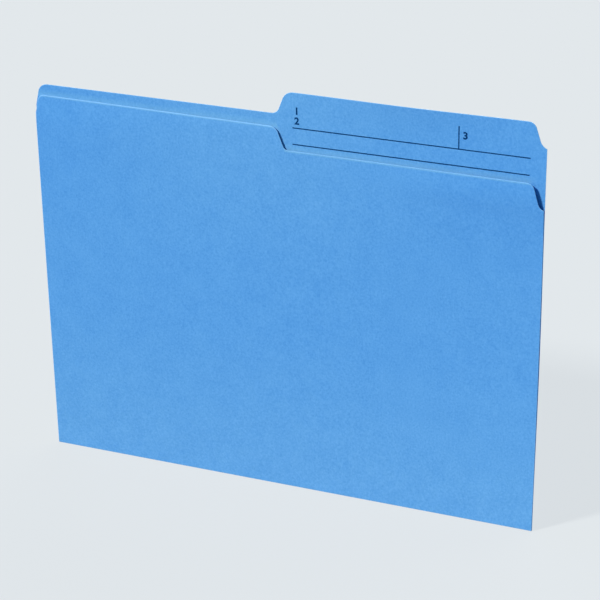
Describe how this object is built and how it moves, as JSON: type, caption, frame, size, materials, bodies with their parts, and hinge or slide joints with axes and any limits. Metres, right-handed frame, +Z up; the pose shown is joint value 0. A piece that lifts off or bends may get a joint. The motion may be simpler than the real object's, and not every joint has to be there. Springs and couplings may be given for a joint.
{
  "type": "file folder",
  "caption": "Letter-size card file folder: two panels joined by a creased fold, with a raised index tab on the right half of the back panel and an undercut front panel.",
  "frame": {"origin": "under the middle of the fold, on the underside of the crease, where a file pocket or drawer floor carries the folder", "axes": "+Z up the panels, +X along the fold towards the tab, -Y out of the front panel"},
  "size_m": [0.2984, 0.0014, 0.2445],
  "materials": {
    "card": "uncoated blue card stock, matt, faintly mottled"
  },
  "bodies": {
    "crease_strip": {"crease_strip": "card"},
    "back_panel": {"back_panel": "card"},
    "front_panel": {"front_panel": "card"}
  },
  "joints": [
    {"name": "back_score", "type": "hinge", "parent": "crease_strip", "child": "back_panel", "pos_m": [0, 0.0006, 0.00014], "axis": [-1, 0, 0], "range_deg": [0, 90]},
    {"name": "front_score", "type": "hinge", "parent": "crease_strip", "child": "front_panel", "pos_m": [0, -0.0006, 0.00014], "axis": [1, 0, 0], "range_deg": [0, 90]}
  ]
}
